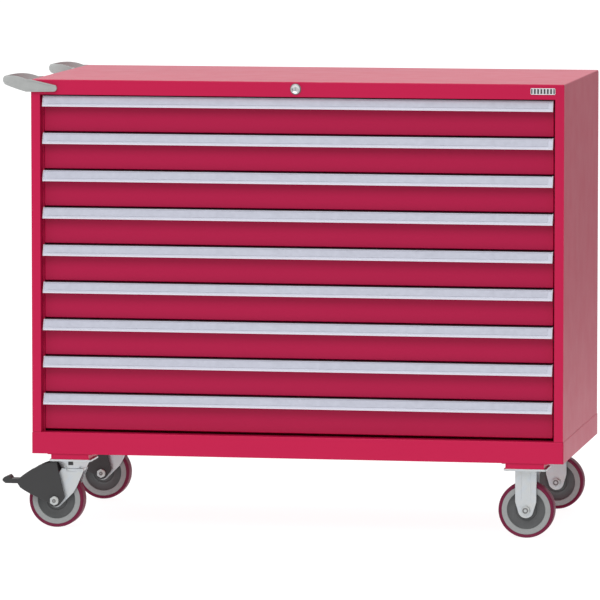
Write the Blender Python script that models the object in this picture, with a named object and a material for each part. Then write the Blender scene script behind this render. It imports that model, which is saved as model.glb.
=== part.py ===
"""Rolling tool chest: nine full-width drawers in a sheet-steel housing on a caster base.

Metres, +Z up. The drawers open towards -Y, the floor is Z = 0, and the origin is the
bottom centre of the whole chest's box. Everything hangs on one empty at the middle of
the housing, which sits off the origin because the push handles stand out to the left.
"""
from math import cos, pi, radians, sin

import bmesh
import bpy

MM = 0.001
GAP = 0.3 * MM                    # clearance between pieces that touch

# Housing
WIDTH = 1435 * MM                 # 56 1/2 inch
DEPTH = 718 * MM                  # 28 1/4 inch
TOP_Z = 1208 * MM
SHEET = 2 * MM
BEND = 3 * MM                     # outside radius of a folded corner
STILE_WIDTH = 21 * MM             # front stile, with the bend at its inner edge
STILE_BEND = 4.5 * MM             # outside radius of that bend
STILE_DEPTH = 33 * MM
HEADER_HEIGHT = 40 * MM
HEADER_LIP = 24 * MM

# Base
BASE_BOTTOM = 203 * MM
BASE_TOP = 261.0 * MM
BASE_WRAP = 1.3 * MM              # how far the base band stands out past the housing
BASE_SHEET = 3 * MM
CHANNEL_HEIGHT = 15 * MM
CHANNEL_HALF = 51.5 * MM
CHANNEL_LIP = 10.5 * MM

# Drawers
DRAWERS = 9
PITCH = 100 * MM
FIRST_TOP = 1165.4 * MM           # top edge of the upper drawer's handle
FRONT_HEIGHT = 97.4 * MM
FRONT_HALF = 689 * MM
FRONT_SETBACK = 24.5 * MM         # drawer front behind the stiles
DRAWER_SHEET = 1.5 * MM
TRAY_HALF = 673 * MM
TRAY_DEPTH = 640 * MM
TRAY_RIM_DROP = 20.5 * MM         # tray rim below the handle's top edge
TRAY_FLOOR_DROP = 90 * MM
FLANGE_HALF = 686 * MM
CARRIAGE_INNER = 675 * MM
CARRIAGE_OUTER = 687 * MM
CARRIAGE_HEIGHT = 28 * MM
CARRIAGE_LENGTH = 600 * MM
CARRIAGE_SHEET = 2.5 * MM
RUN_GAP = 0.5 * MM                # play between tray flange, carriage and rail
RAIL_INNER = 677 * MM

# Handle strip on each drawer
STRIP_HALF = 690 * MM
STRIP_HEIGHT = 29.5 * MM
STRIP_WALL = 2.6 * MM
STRIP_TOP_FORWARD = 14 * MM       # top edge ahead of the drawer front
STRIP_LIP_FORWARD = 24.5 * MM     # bottom lip ahead of the drawer front

# Lock and name plate
LOCK_Z = 1189 * MM
LOCK_FACE_R = 13.5 * MM
LOCK_BARREL_R = 11 * MM
LOCK_FACE_DEPTH = 5 * MM
LOCK_LENGTH = 32 * MM
PLATE_X = 661 * MM
PLATE_Z = 1189.5 * MM
PLATE_SIZE = (66 * MM, 1.5 * MM, 17 * MM)

# Push handles, round the two left-hand corners
GRIP_THICK = 8 * MM
GRIP_RADIUS = 75 * MM             # middle of the bar, in plan
GRIP_STAND = 12 * MM              # straight part between the side and the bend
FOOT_LENGTH = 71.5 * MM
FOOT_END_HEIGHT = 18 * MM
GRIP_LOW = 1175 * MM
GRIP_CHAMFER = 1.5 * MM
HANDLE_REACH = GRIP_STAND + GRIP_RADIUS + GRIP_THICK / 2

# Casters
WHEEL_RADIUS = 75 * MM
WHEEL_HALF = 22.5 * MM
BORE_R = 6.6 * MM
AXLE_R = 6 * MM
CASTER_X = 615.3 * MM
CASTER_Y = 306 * MM
CASTER_PLATE = (114 * MM, 102 * MM, 5.5 * MM)
PLATE_TOP = BASE_BOTTOM - CHANNEL_HEIGHT - GAP
PLATE_BOTTOM = PLATE_TOP - CASTER_PLATE[2]
LEG_INNER = 25 * MM
LEG_THICK = 4 * MM
LEG_OUTER = LEG_INNER + LEG_THICK
TRAIL = 44.2 * MM
RACEWAY_TOP_R = 44 * MM
RACEWAY_R = 34 * MM
RACEWAY_BOTTOM = 162 * MM
HEAD_R = 33 * MM
HEAD_BOTTOM = 153 * MM
KINGPIN_R = 8 * MM
COVER_INNER = 40 * MM
COVER_THICK = 3 * MM
COVER_OUTER = COVER_INNER + COVER_THICK
PEDAL_HALF = 20 * MM
PEDAL_PIVOT = (-78 * MM, 122 * MM)     # from the axle in X, from the floor in Z
WASHER_R = 13 * MM
WASHER_THICK = 2 * MM
BOLT_HEAD_R = 11 * MM

FRONT_Y = -DEPTH / 2
CHEST_X = (HANDLE_REACH - BASE_WRAP) / 2

PAINTS = {
    "red_frame": ((0.53, 0.018, 0.075), 0.30, 0.0),
    "red_drawer": ((0.42, 0.016, 0.062), 0.35, 0.0),
    "aluminium": ((0.60, 0.62, 0.66), 0.35, 1.0),
    "galvanised": ((0.48, 0.50, 0.52), 0.45, 1.0),
    "cast_grey": ((0.45, 0.47, 0.48), 0.45, 0.6),
    "zinc": ((0.62, 0.64, 0.66), 0.35, 0.9),
    "dark_steel": ((0.045, 0.045, 0.047), 0.5, 0.2),
    "tread": ((0.09, 0.02, 0.03), 0.5, 0.0),
    "chrome": ((0.75, 0.76, 0.78), 0.12, 1.0),
}


def clear_scene():
    for obj in list(bpy.data.objects):
        bpy.data.objects.remove(obj)


def make_material(name):
    colour, roughness, metallic = PAINTS[name]
    material = bpy.data.materials.new(name)
    material.use_nodes = True
    shader = material.node_tree.nodes["Principled BSDF"]
    shader.inputs["Base Color"].default_value = (*colour, 1)
    shader.inputs["Roughness"].default_value = roughness
    shader.inputs["Metallic"].default_value = metallic
    return material


def place(name, mesh, location, parent, material, smooth=False):
    """One named piece, hung on its parent with its origin at the location."""
    mesh.name = name
    piece = bpy.data.objects.new(name, mesh)
    piece.location = location
    piece.parent = parent
    bpy.context.collection.objects.link(piece)
    if not mesh.materials:
        mesh.materials.append(MATERIALS[material])
    if smooth:
        mesh.shade_smooth()
        mesh.set_sharp_from_angle(angle=radians(35))
    return piece


def empty(name, location, parent=None):
    frame = bpy.data.objects.new(name, None)
    frame.location = location
    frame.parent = parent
    bpy.context.collection.objects.link(frame)
    return frame


def mesh_from(bm):
    bmesh.ops.recalc_face_normals(bm, faces=bm.faces)
    mesh = bpy.data.meshes.new("shape")
    bm.to_mesh(mesh)
    bm.free()
    return mesh


def prism(outline, axis, low, high):
    """The outline, in the plane across the axis, extruded from low to high along it."""
    spots = {
        "X": lambda a, b: (low, a, b),
        "Y": lambda a, b: (a, low, b),
        "Z": lambda a, b: (a, b, low),
    }
    bm = bmesh.new()
    face = bm.faces.new([bm.verts.new(spots[axis](a, b)) for a, b in outline])
    grown = bmesh.ops.extrude_face_region(bm, geom=[face])["geom"]
    moved = [item for item in grown if isinstance(item, bmesh.types.BMVert)]
    step = [0.0, 0.0, 0.0]
    step["XYZ".index(axis)] = high - low
    bmesh.ops.translate(bm, verts=moved, vec=step)
    return mesh_from(bm)


def block(low, high):
    """A box between two opposite corners."""
    corners = [(low[0], low[1]), (high[0], low[1]), (high[0], high[1]), (low[0], high[1])]
    return prism(corners, "Z", low[2], high[2])


def arc(centre, radius, start, end, steps):
    """Points along an arc, with its angles in degrees."""
    turn = radians(end - start) / steps
    angles = [radians(start) + turn * i for i in range(steps + 1)]
    return [(centre[0] + radius * cos(a), centre[1] + radius * sin(a)) for a in angles]


def polygon(centre, radius, sides, turn=0.0):
    return arc(centre, radius, turn, turn + 360 - 360 / sides, sides - 1)


def turned(profile, segments):
    """A closed profile of (radius, y) points spun about the Y axis."""
    bm = bmesh.new()
    verts = [bm.verts.new((radius, y, 0)) for radius, y in profile]
    edges = [bm.edges.new((a, b)) for a, b in zip(verts, verts[1:] + verts[:1])]
    bmesh.ops.spin(bm, geom=verts + edges, cent=(0, 0, 0), axis=(0, 1, 0), angle=2 * pi,
                   steps=segments, use_merge=True)
    return mesh_from(bm)


def combined(parts, cuts=()):
    """One closed mesh: the union of the parts, less the cuts."""
    body = bpy.data.objects.new("body", parts[0])
    helpers = []
    for operation, meshes in (("UNION", parts[1:]), ("DIFFERENCE", cuts)):
        for mesh in meshes:
            helper = bpy.data.objects.new("helper", mesh)
            modifier = body.modifiers.new(operation, "BOOLEAN")
            modifier.operation = operation
            modifier.object = helper
            helpers.append(helper)
    for obj in [body, *helpers]:
        bpy.context.collection.objects.link(obj)
    bpy.context.view_layer.update()
    depsgraph = bpy.context.evaluated_depsgraph_get()
    result = bpy.data.meshes.new_from_object(body.evaluated_get(depsgraph))
    for obj in [body, *helpers]:
        bpy.data.objects.remove(obj)
    return result


def mirrored(points):
    """The same points on the other side of the middle, in reverse order."""
    return [(-x, y) for x, y in reversed(points)]


# ---------------------------------------------------------------- housing and base

def housing_outline():
    """Plan of the sides, back and folded stiles, one sheet thick."""
    half = WIDTH / 2
    back = DEPTH / 2
    throat = half - STILE_WIDTH
    lip_back = FRONT_Y + STILE_DEPTH
    fold = (throat + STILE_BEND, FRONT_Y + STILE_BEND)
    outer = [
        (throat + SHEET, lip_back),
        (throat, lip_back),
        *arc(fold, STILE_BEND, 180, 270, 3),
        *arc((half - BEND, FRONT_Y + BEND), BEND, -90, 0, 3),
        *arc((half - BEND, back - BEND), BEND, 0, 90, 3),
    ]
    inner = [
        (half - SHEET, back - SHEET),
        (half - SHEET, FRONT_Y + SHEET),
        *arc(fold, STILE_BEND - SHEET, 270, 180, 3),
    ]
    return outer + mirrored(outer) + mirrored(inner) + inner


def rail_outline(side):
    """Section of the rail plate on one side wall: a comb with one ledge per drawer."""
    wall = WIDTH / 2 - SHEET / 2
    face = WIDTH / 2 - 1.5 * SHEET
    points = []
    for index in range(DRAWERS):
        ledge_top = rail_top(index)
        ledge_bottom = ledge_top - SHEET
        points += [(face, ledge_top), (RAIL_INNER, ledge_top)]
        points += [(RAIL_INNER, ledge_bottom), (face, ledge_bottom)]
    plate_top = points[0][1] + PITCH / 4
    plate_bottom = points[-1][1] - PITCH / 4
    points = [(wall, plate_top), (face, plate_top), *points]
    points += [(face, plate_bottom), (wall, plate_bottom)]
    return [(side * x, z) for x, z in points]


def drawer_top(index):
    return FIRST_TOP - index * PITCH


def carriage_top(index):
    return drawer_top(index) - TRAY_RIM_DROP - DRAWER_SHEET - RUN_GAP


def rail_top(index):
    return carriage_top(index) - CARRIAGE_HEIGHT - RUN_GAP


def make_housing(chest):
    half = WIDTH / 2
    low = BASE_TOP + GAP
    header_low = TOP_Z - HEADER_HEIGHT
    under_top = TOP_Z - SHEET / 2
    rails_front = FRONT_Y + STILE_DEPTH - 4 * MM
    rails_back = DEPTH / 2 - 20 * MM
    roof_outline = [
        *arc((half - BEND, FRONT_Y + BEND), BEND, -90, 0, 3),
        *arc((half - BEND, DEPTH / 2 - BEND), BEND, 0, 90, 3),
    ]
    walls = prism(housing_outline(), "Z", low, under_top)
    roof = prism(roof_outline + mirrored(roof_outline), "Z", TOP_Z - SHEET, TOP_Z)
    reach = half - STILE_WIDTH / 2
    header_section = [
        (FRONT_Y, header_low),
        (FRONT_Y + HEADER_LIP, header_low),
        (FRONT_Y + HEADER_LIP, header_low + SHEET),
        (FRONT_Y + SHEET, header_low + SHEET),
        (FRONT_Y + SHEET, under_top),
        (FRONT_Y, under_top),
    ]
    header = prism(header_section, "X", -reach, reach)
    rails = [prism(rail_outline(side), "Y", rails_front, rails_back) for side in (-1, 1)]
    lock_hole = prism(polygon((0, LOCK_Z), LOCK_BARREL_R + 2 * GAP, 24), "Y",
                      FRONT_Y - SHEET, FRONT_Y + 2 * SHEET)
    mesh = combined([walls, roof, header, *rails], [lock_hole])
    place("housing_shell", mesh, (0, 0, 0), chest, "red_frame")


def channel_outline(centre):
    """Section of one base channel: a hat with its crown down and its lips up."""
    wall = BASE_SHEET
    crown = BASE_BOTTOM - CHANNEL_HEIGHT
    lip_top = BASE_BOTTOM + wall
    outer = [
        (CHANNEL_HALF, crown),
        (CHANNEL_HALF, BASE_BOTTOM - wall),
        (CHANNEL_HALF + wall, BASE_BOTTOM),
        (CHANNEL_HALF + CHANNEL_LIP, BASE_BOTTOM),
        (CHANNEL_HALF + CHANNEL_LIP, lip_top),
    ]
    inner = [
        (CHANNEL_HALF, lip_top),
        (CHANNEL_HALF - wall, BASE_BOTTOM),
        (CHANNEL_HALF - wall, crown + wall),
    ]
    points = outer + inner + mirrored(inner) + mirrored(outer)
    return [(centre + x, z) for x, z in points]


def make_base(chest):
    half = WIDTH / 2 + BASE_WRAP
    back = DEPTH / 2 + BASE_WRAP
    wall = BASE_SHEET
    end = back - 2 * MM
    tray = block((-half, -back, BASE_BOTTOM), (half, back, BASE_TOP))
    hollow = block((-half + wall, -back + wall, BASE_BOTTOM - wall),
                   (half - wall, back - wall, BASE_TOP - wall))
    band = combined([tray], [hollow])
    channels = []
    for centre in (-CASTER_X, CASTER_X):
        channels.append(prism(channel_outline(centre), "Y", -end, end))
        for face in (-end, end - wall):
            cap_low = (centre - CHANNEL_HALF + wall / 2, face, BASE_BOTTOM - CHANNEL_HEIGHT + wall / 2)
            cap_high = (centre + CHANNEL_HALF - wall / 2, face + wall, BASE_BOTTOM + wall / 2)
            channels.append(block(cap_low, cap_high))
    place("base_frame", combined([band, *channels]), (0, 0, 0), chest, "red_frame")


# ---------------------------------------------------------------- drawers

def tray_mesh():
    """Front, floor, sides with outward rims, and back, with Z = 0 at the handle's top edge."""
    wall = DRAWER_SHEET
    face = FRONT_Y + FRONT_SETBACK
    rim = -TRAY_RIM_DROP
    floor = -TRAY_FLOOR_DROP
    side = [
        (TRAY_HALF, floor),
        (TRAY_HALF, rim - wall),
        (FLANGE_HALF, rim - wall),
        (FLANGE_HALF, rim),
        (TRAY_HALF - wall, rim),
        (TRAY_HALF - wall, floor + wall),
    ]
    trough = prism(mirrored(side)[3:] + side[:3] + side[3:] + mirrored(side)[:3], "Y",
                   face + wall / 2, face + TRAY_DEPTH)
    front = block((-FRONT_HALF, face, -FRONT_HEIGHT), (FRONT_HALF, face + wall, -STRIP_WALL - GAP))
    back = block((-TRAY_HALF + wall / 2, face + TRAY_DEPTH - wall, floor + wall / 2),
                 (TRAY_HALF - wall / 2, face + TRAY_DEPTH - wall / 4, rim - wall / 2))
    return combined([trough, front, back])


def strip_mesh():
    """Aluminium pull: a flange on the drawer front and a sloping face with a finger lip."""
    panel = FRONT_Y + FRONT_SETBACK
    top = panel - STRIP_TOP_FORWARD
    lip = panel - STRIP_LIP_FORWARD
    section = [
        (panel + DRAWER_SHEET, 0),
        (top + 1.5 * MM, 0),
        (top, -1.5 * MM),
        (lip + 1 * MM, -STRIP_HEIGHT + 5 * MM),
        (lip, -STRIP_HEIGHT + 3.5 * MM),
        (lip, -STRIP_HEIGHT + 1 * MM),
        (lip + 1 * MM, -STRIP_HEIGHT),
        (lip + 4 * MM, -STRIP_HEIGHT),
        (lip + 4.5 * MM, -STRIP_HEIGHT + 3 * MM),
        (top + STRIP_WALL + 1 * MM, -STRIP_WALL - 3 * MM),
        (top + STRIP_WALL + 3 * MM, -STRIP_WALL),
        (panel + DRAWER_SHEET, -STRIP_WALL),
    ]
    return prism(section, "X", -STRIP_HALF, STRIP_HALF)


def carriage_mesh(side):
    """Rolled channel that runs between the rail and the tray rim, open to the tray."""
    wall = CARRIAGE_SHEET
    low = -CARRIAGE_HEIGHT
    section = [
        (CARRIAGE_INNER, low),
        (CARRIAGE_OUTER, low),
        (CARRIAGE_OUTER, 0),
        (CARRIAGE_INNER, 0),
        (CARRIAGE_INNER, -wall),
        (CARRIAGE_OUTER - wall, -wall),
        (CARRIAGE_OUTER - wall, low + wall),
        (CARRIAGE_INNER, low + wall),
    ]
    start = FRONT_Y + STILE_DEPTH
    return prism([(side * x, z) for x, z in section], "Y", start, start + CARRIAGE_LENGTH)


def make_drawers(chest):
    """Nine alike: tray, pull and two carriages, whose meshes all drawers share."""
    tray = tray_mesh()
    strip = strip_mesh()
    carriages = {"left": carriage_mesh(-1), "right": carriage_mesh(1)}
    for index in range(DRAWERS):
        number = index + 1
        top = (0, 0, drawer_top(index))
        place(f"drawer_tray_{number}", tray, top, chest, "red_drawer")
        place(f"drawer_pull_{number}", strip, top, chest, "aluminium")
        for side, mesh in carriages.items():
            place(f"carriage_{side}_{number}", mesh, (0, 0, carriage_top(index)), chest,
                  "galvanised")


# ---------------------------------------------------------------- lock, plate, push handles

def make_lock(chest):
    """Barrel with a round face, a keyway and a cam, turning about its own axis."""
    face = prism(polygon((0, 0), LOCK_FACE_R, 32), "Y", -LOCK_FACE_DEPTH, -GAP)
    barrel = prism(polygon((0, 0), LOCK_BARREL_R, 24), "Y", -LOCK_FACE_DEPTH / 2, LOCK_LENGTH)
    cam = block((-6 * MM, LOCK_LENGTH - 3 * MM, -17 * MM), (6 * MM, LOCK_LENGTH + 1 * MM, 4 * MM))
    keyway = block((-1.1 * MM, -2 * LOCK_FACE_DEPTH, -4.5 * MM),
                   (1.1 * MM, -LOCK_FACE_DEPTH / 2, 4.5 * MM))
    mesh = combined([face, barrel, cam], [keyway])
    place("lock_cylinder", mesh, (0, FRONT_Y, LOCK_Z), chest, "chrome", smooth=True)


def make_name_plate(chest):
    """Blank plate with a narrow chamfer round its face."""
    width, thick, height = PLATE_SIZE
    bm = bmesh.new()
    bmesh.ops.create_cube(bm, size=1)
    bmesh.ops.scale(bm, vec=(width, thick, height), verts=bm.verts)
    front = [edge for edge in bm.edges if all(vert.co.y < 0 for vert in edge.verts)]
    bmesh.ops.bevel(bm, geom=front, offset=0.6 * MM, segments=1, affect="EDGES")
    place("name_plate", mesh_from(bm), (PLATE_X, FRONT_Y - GAP - thick / 2, PLATE_Z), chest,
          "aluminium")


def grip_heights(out):
    """Lower and upper edge of the bar, where out runs from 0 at its roots to 1 at its tip."""
    low = GRIP_LOW + (22 * out - 4 * out * out) * MM
    high = TOP_Z + (30 * out - 25 * out * out) * MM
    return low, high


def foot_stations(length):
    """Distance from the end, and edge heights, of the tapered foot with its round end."""
    radius = FOOT_END_HEIGHT / 2
    middle = GRIP_LOW + 1 * MM + radius
    stations = []
    for angle in (15, 40, 65, 90):
        rise = radius * sin(radians(angle))
        stations.append((radius * (1 - cos(radians(angle))), middle - rise, middle + rise))
    stations.append((length, GRIP_LOW, TOP_Z))
    return stations


def grip_path(mirror):
    """Stations along the front handle's bar in plan: place, direction across it, edges."""
    half_thick = GRIP_THICK / 2
    line_y = FRONT_Y - GAP - half_thick
    line_x = -WIDTH / 2 - GAP - half_thick
    bend_x = -WIDTH / 2 - GRIP_STAND
    bend_y = line_y + GRIP_RADIUS
    end_x = -WIDTH / 2 + FOOT_LENGTH
    end_y = bend_y + GRIP_RADIUS + FOOT_LENGTH
    stations = [((end_x - run, line_y), (0, -1), low, high)
                for run, low, high in foot_stations(FOOT_LENGTH)]
    steps = 16
    for step in range(steps + 1):
        angle = pi * step / steps
        across = (-sin(angle), -cos(angle))
        spot = (bend_x + GRIP_RADIUS * across[0], bend_y + GRIP_RADIUS * across[1])
        stations.append((spot, across, *grip_heights(sin(angle))))
    corner = (line_x, bend_y + GRIP_RADIUS)
    stations.append((corner, (-1, 1), GRIP_LOW, TOP_Z))
    for run, low, high in reversed(foot_stations(FOOT_LENGTH - GRIP_THICK)):
        stations.append(((line_x, end_y - run), (-1, 0), low, high))
    return [((x, mirror * y), (ax, mirror * ay), low, high)
            for (x, y), (ax, ay), low, high in stations]


def grip_mesh(mirror):
    """The bar, skinned over its stations with chamfered edges."""
    half = GRIP_THICK / 2
    edge = GRIP_CHAMFER
    bm = bmesh.new()
    rings = []
    for (x, y), (ax, ay), low, high in grip_path(mirror):
        cut = min(edge, (high - low) / 4)
        corners = [
            (half, low + cut), (half, high - cut), (half - edge, high), (edge - half, high),
            (-half, high - cut), (-half, low + cut), (edge - half, low), (half - edge, low),
        ]
        rings.append([bm.verts.new((x + ax * out, y + ay * out, z)) for out, z in corners])
    for ring, following in zip(rings, rings[1:]):
        for i in range(8):
            j = (i + 1) % 8
            bm.faces.new((ring[i], ring[j], following[j], following[i]))
    bm.faces.new(rings[0])
    bm.faces.new(rings[-1])
    return mesh_from(bm)


def make_push_handles(chest):
    for name, mirror in (("push_handle_front", 1), ("push_handle_rear", -1)):
        place(name, grip_mesh(mirror), (0, 0, 0), chest, "cast_grey", smooth=True)


# ---------------------------------------------------------------- casters

def wheel_mesh():
    """Wheel with a crowned tread, a flat rim face, a dished web and a hub."""
    side = [
        (BORE_R, 24 * MM),
        (17 * MM, 24 * MM),
        (19 * MM, 14 * MM),
        (49 * MM, 14 * MM),
        (52 * MM, 20 * MM),
        (66 * MM, 20 * MM),
        (68 * MM, WHEEL_HALF - 1 * MM),
        (72 * MM, WHEEL_HALF),
        (WHEEL_RADIUS, 15 * MM),
    ]
    return turned(side + [(radius, -y) for radius, y in reversed(side)], 36)


def axle_mesh(plates_outer, head_reach, nut_reach):
    """Bolt across the plates with its hex head towards -Y and its nut towards +Y."""
    seat = plates_outer + GAP
    parts = [prism(polygon((0, 0), AXLE_R, 20), "Y", -seat - head_reach / 2, seat + nut_reach)]
    for side in (-1, 1):
        washer = sorted((side * seat, side * (seat + WASHER_THICK)))
        head = sorted((side * (seat + WASHER_THICK / 2), side * (seat + head_reach)))
        parts.append(prism(polygon((0, 0), WASHER_R, 24), "Y", *washer))
        parts.append(prism(polygon((0, 0), BOLT_HEAD_R, 6, 30), "Y", *head))
    return combined(parts)


def plate_block(top):
    width, length, thick = CASTER_PLATE
    return block((-width / 2, -length / 2, top - thick), (width / 2, length / 2, top))


def pair_of_plates(outline, inner, thick):
    """The outline as two flat plates, one on each side of the wheel."""
    return [prism(outline, "Y", inner, inner + thick), prism(outline, "Y", -inner - thick, -inner)]


def axle_hole(x, reach):
    return prism(polygon((x, WHEEL_RADIUS), BORE_R, 20), "Y", -reach, reach)


def rigid_bracket_mesh():
    """Top plate and U-shaped bracket whose legs narrow to a round end at the axle."""
    half = 28.5 * MM
    round_r = 21 * MM
    shoulder = 105 * MM
    top = PLATE_BOTTOM + 2 * MM
    leg = [(half, top), (-half, top), (-half, shoulder),
           *arc((0, WHEEL_RADIUS), round_r, 190, 350, 8), (half, shoulder)]
    bridge = block((-half, -LEG_OUTER, PLATE_BOTTOM - 4 * MM), (half, LEG_OUTER, top))
    parts = [plate_block(PLATE_TOP), bridge, *pair_of_plates(leg, LEG_INNER, LEG_THICK)]
    return combined(parts, [axle_hole(0, 2 * LEG_OUTER)])


def cone(low_radius, high_radius, low, high, segments):
    """A frustum that stands on the Z axis."""
    bm = bmesh.new()
    bmesh.ops.create_cone(bm, cap_ends=True, segments=segments, radius1=low_radius,
                          radius2=high_radius, depth=high - low)
    bmesh.ops.translate(bm, verts=bm.verts, vec=(0, 0, (low + high) / 2))
    return mesh_from(bm)


def swivel_plate_mesh():
    """Top plate with the dished upper raceway under it and a hole for the kingpin."""
    raceway = cone(RACEWAY_R, RACEWAY_TOP_R, RACEWAY_BOTTOM, PLATE_BOTTOM + 2 * MM, 32)
    hole = prism(polygon((0, 0), KINGPIN_R + 2 * GAP, 20), "Z", RACEWAY_BOTTOM - 2 * MM,
                 PLATE_TOP + 2 * MM)
    return combined([plate_block(PLATE_TOP), raceway], [hole])


def fork_mesh():
    """Swivel head with its kingpin and two legs that trail back to the axle."""
    top = RACEWAY_BOTTOM - GAP
    rear_shoulder = [(-27 * MM, top), (-33 * MM, 152 * MM)]
    front_edge = [(4 * MM, 95 * MM), (13 * MM, 110.5 * MM), (21.5 * MM, 131 * MM),
                  (33 * MM, 159 * MM), (30 * MM, top)]
    leg = [*rear_shoulder, *arc((-TRAIL, WHEEL_RADIUS), 20 * MM, 170, 325, 8), *front_edge]
    head = prism(polygon((0, 0), HEAD_R, 32), "Z", HEAD_BOTTOM, top)
    pin = prism(polygon((0, 0), KINGPIN_R, 20), "Z", HEAD_BOTTOM + 4 * MM, PLATE_TOP - 1 * MM)
    parts = [head, pin, *pair_of_plates(leg, LEG_INNER, LEG_THICK)]
    return combined(parts, [axle_hole(-TRAIL, 2 * LEG_OUTER)])


def cover_spine():
    """Upper edge of the brake cover, from its crown down to its nose."""
    points = [(6, 180.5), (-9, 179), (-20, 176.5), (-44, 168), (-61.5, 159.5), (-79, 148),
              (-91, 139), (-102, 129.5)]
    return [(x * MM - TRAIL, z * MM) for x, z in points]


def cover_outline():
    """Side of the brake cover: a curved wedge that points at the pedal."""
    belly = [(-102, 118.5), (-95, 108), (-84, 101), (-67, 91.5), (-49, 83.5)]
    hub = arc((0, WHEEL_RADIUS), 17 * MM, 205, 325, 6)
    points = [(x * MM, z * MM) for x, z in belly] + hub + [(28 * MM, 83.5 * MM), (9.5 * MM, 160 * MM)]
    return cover_spine() + [(x - TRAIL, z) for x, z in points]


def brake_cover_mesh():
    """Two wedge-shaped side plates joined by a curved roof over the wheel."""
    inset = 0.5 * MM
    upper = [(x, z - inset) for x, z in cover_spine()[3:7]]
    lower = [(x, z - COVER_THICK) for x, z in reversed(upper)]
    overlap = COVER_INNER + COVER_THICK / 2
    roof = prism(upper + lower, "Y", -overlap, overlap)
    near, far = pair_of_plates(cover_outline(), COVER_INNER, COVER_THICK)
    return combined([near, roof, far], [axle_hole(-TRAIL, 2 * COVER_OUTER)])


def pedal_mesh():
    """Foot lever with an upturned toe, about its pivot inside the cover."""
    points = [(8, -4), (8, 4), (4, 6.6), (-47, 6.4), (-49.5, 10.8), (-54, 15.6), (-66, 10.6),
              (-70.8, 5.6), (-70.4, 0.8), (-62.6, -5.6), (5, -5.6)]
    section = [(x * MM, z * MM) for x, z in points]
    return prism(section, "Y", -PEDAL_HALF, PEDAL_HALF)


def make_rigid_caster(name, y, meshes, chest):
    caster = empty(f"caster_{name}", (CASTER_X, y, 0), chest)
    axle = (0, 0, WHEEL_RADIUS)
    place(f"bracket_{name}", meshes["bracket"], (0, 0, 0), caster, "zinc")
    place(f"axle_{name}", meshes["rigid_axle"], axle, caster, "zinc", smooth=True)
    place(f"wheel_{name}", meshes["wheel"], axle, caster, "tread", smooth=True)


def make_swivel_caster(name, y, meshes, chest):
    caster = empty(f"caster_{name}", (-CASTER_X, y, 0), chest)
    axle = (-TRAIL, 0, WHEEL_RADIUS)
    pivot = (PEDAL_PIVOT[0] - TRAIL, 0, PEDAL_PIVOT[1])
    place(f"swivel_plate_{name}", meshes["swivel_plate"], (0, 0, 0), caster, "zinc", smooth=True)
    place(f"fork_{name}", meshes["fork"], (0, 0, 0), caster, "zinc", smooth=True)
    place(f"brake_cover_{name}", meshes["brake_cover"], (0, 0, 0), caster, "dark_steel")
    place(f"axle_{name}", meshes["axle"], axle, caster, "zinc", smooth=True)
    place(f"wheel_{name}", meshes["wheel"], axle, caster, "tread", smooth=True)
    place(f"brake_pedal_{name}", meshes["pedal"], pivot, caster, "dark_steel")


def make_casters(chest):
    """Two rigid casters on the right and two braked swivel casters on the left."""
    meshes = {
        "wheel": wheel_mesh(),
        "axle": axle_mesh(COVER_OUTER, 9 * MM, 12 * MM),
        "rigid_axle": axle_mesh(LEG_OUTER, 8 * MM, 10 * MM),
        "bracket": rigid_bracket_mesh(),
        "swivel_plate": swivel_plate_mesh(),
        "fork": fork_mesh(),
        "brake_cover": brake_cover_mesh(),
        "pedal": pedal_mesh(),
    }
    for end, y in (("front", -CASTER_Y), ("rear", CASTER_Y)):
        make_rigid_caster(f"right_{end}", y, meshes, chest)
        make_swivel_caster(f"left_{end}", y, meshes, chest)


clear_scene()
MATERIALS = {paint: make_material(paint) for paint in PAINTS}
CHEST = empty("chest", (CHEST_X, 0, 0))
make_housing(CHEST)
make_base(CHEST)
make_drawers(CHEST)
make_lock(CHEST)
make_name_plate(CHEST)
make_push_handles(CHEST)
make_casters(CHEST)
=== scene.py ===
"""Looks of the rolling tool chest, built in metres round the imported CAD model.

Sizes come from the CAD boxes. Sections are outlines in millimetres, turned into metres
where they are extruded. Each sub-part has its own function, and every piece rides on the
CAD body that carries it.
"""
from math import cos, pi, radians, sin, tan

import bmesh
import bpy
from mathutils import Matrix, Vector


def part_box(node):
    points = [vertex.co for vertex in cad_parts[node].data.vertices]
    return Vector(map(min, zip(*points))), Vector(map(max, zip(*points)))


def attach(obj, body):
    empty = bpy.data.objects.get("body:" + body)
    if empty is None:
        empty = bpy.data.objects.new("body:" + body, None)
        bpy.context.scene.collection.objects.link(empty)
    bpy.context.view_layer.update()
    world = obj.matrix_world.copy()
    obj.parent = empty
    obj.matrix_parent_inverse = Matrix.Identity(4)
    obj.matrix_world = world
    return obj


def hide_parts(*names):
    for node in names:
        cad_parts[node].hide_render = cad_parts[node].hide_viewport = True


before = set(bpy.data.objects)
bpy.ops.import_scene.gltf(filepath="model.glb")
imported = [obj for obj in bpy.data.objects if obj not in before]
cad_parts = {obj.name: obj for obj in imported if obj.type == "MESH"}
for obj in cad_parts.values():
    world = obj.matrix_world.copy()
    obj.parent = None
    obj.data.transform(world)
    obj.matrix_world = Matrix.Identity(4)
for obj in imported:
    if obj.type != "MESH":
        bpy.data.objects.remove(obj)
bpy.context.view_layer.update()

MM = 0.001
SHARP = 35                        # degrees; flatter edges are shaded smooth
DRAWERS = range(1, 10)

HOUSE_LOW, HOUSE_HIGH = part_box("housing_shell")
MID_X = (HOUSE_LOW.x + HOUSE_HIGH.x) / 2
FRONT_Y = HOUSE_LOW.y
BACK_Y = HOUSE_HIGH.y
ROOF_Z = HOUSE_HIGH.z
HALF_WIDTH = (HOUSE_HIGH.x - HOUSE_LOW.x) / 2
BASE_LOW, BASE_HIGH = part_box("base_frame")
CHANNEL_BOTTOM = BASE_LOW.z


# ---- outlines

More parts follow.
